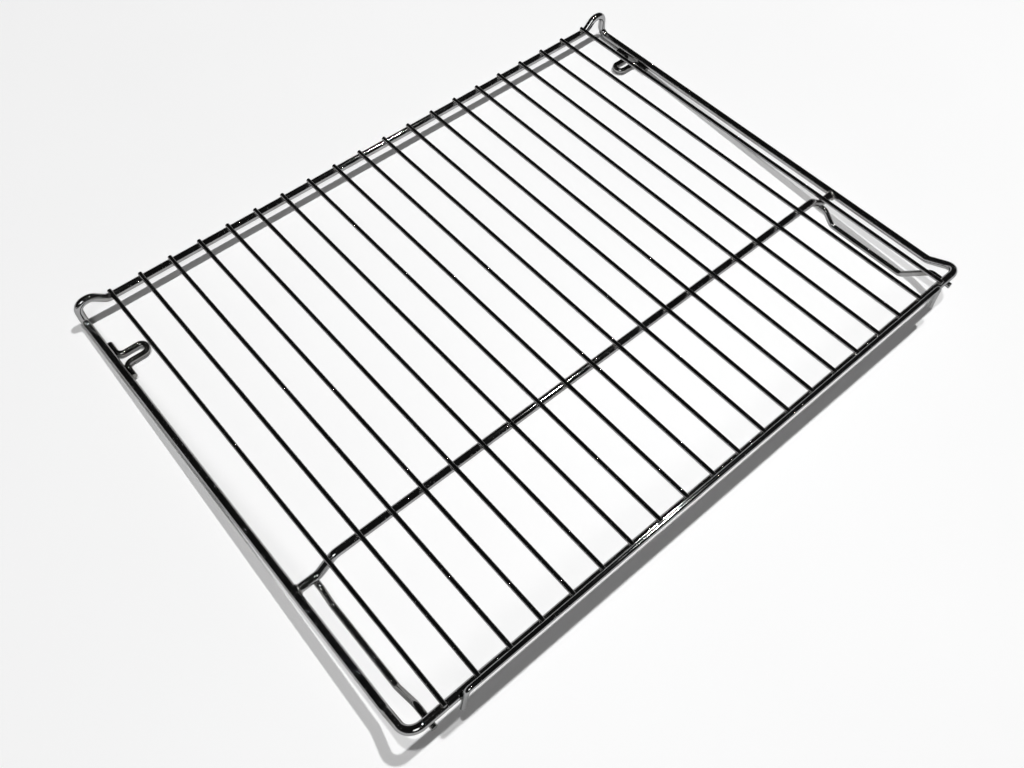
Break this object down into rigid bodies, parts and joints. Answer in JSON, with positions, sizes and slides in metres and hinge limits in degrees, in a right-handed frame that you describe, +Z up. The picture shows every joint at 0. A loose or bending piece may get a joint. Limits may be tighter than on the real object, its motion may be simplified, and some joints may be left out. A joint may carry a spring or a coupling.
{
  "type": "wire oven rack",
  "caption": "Welded chrome wire oven shelf: bent outer frame with raised back corners, cross bar, grid of rods, rear stop loops, front runners and a raised front bar.",
  "frame": {"origin": "under the middle of the rack's plan, at the height of the runners' lowest line", "axes": "+X along the front and back rails, +Y from the front rail to the back rail along the rods, +Z up out of the shelf surface"},
  "size_m": [0.469, 0.3534, 0.0369],
  "materials": {
    "frame_wire": "bright plated steel wire, slightly smoked",
    "rod_wire": "bright plated steel wire, slightly smoked",
    "foot_wire": "bright plated steel wire, slightly smoked",
    "bar_wire": "bright plated steel wire, slightly smoked"
  },
  "bodies": {
    "root": {"outer_frame": "frame_wire", "cross_bar": "frame_wire", "front_bar": "bar_wire", "left_stop": "foot_wire", "right_stop": "foot_wire", "left_runner": "foot_wire", "right_runner": "foot_wire", "rod_01": "rod_wire", "rod_02": "rod_wire", "rod_03": "rod_wire", "rod_04": "rod_wire", "rod_05": "rod_wire", "rod_06": "rod_wire", "rod_07": "rod_wire", "rod_08": "rod_wire", "rod_09": "rod_wire", "rod_10": "rod_wire", "rod_11": "rod_wire", "rod_12": "rod_wire", "rod_13": "rod_wire", "rod_14": "rod_wire", "rod_15": "rod_wire", "rod_16": "rod_wire", "rod_17": "rod_wire", "rod_18": "rod_wire", "rod_19": "rod_wire", "rod_20": "rod_wire"}
  },
  "joints": []
}
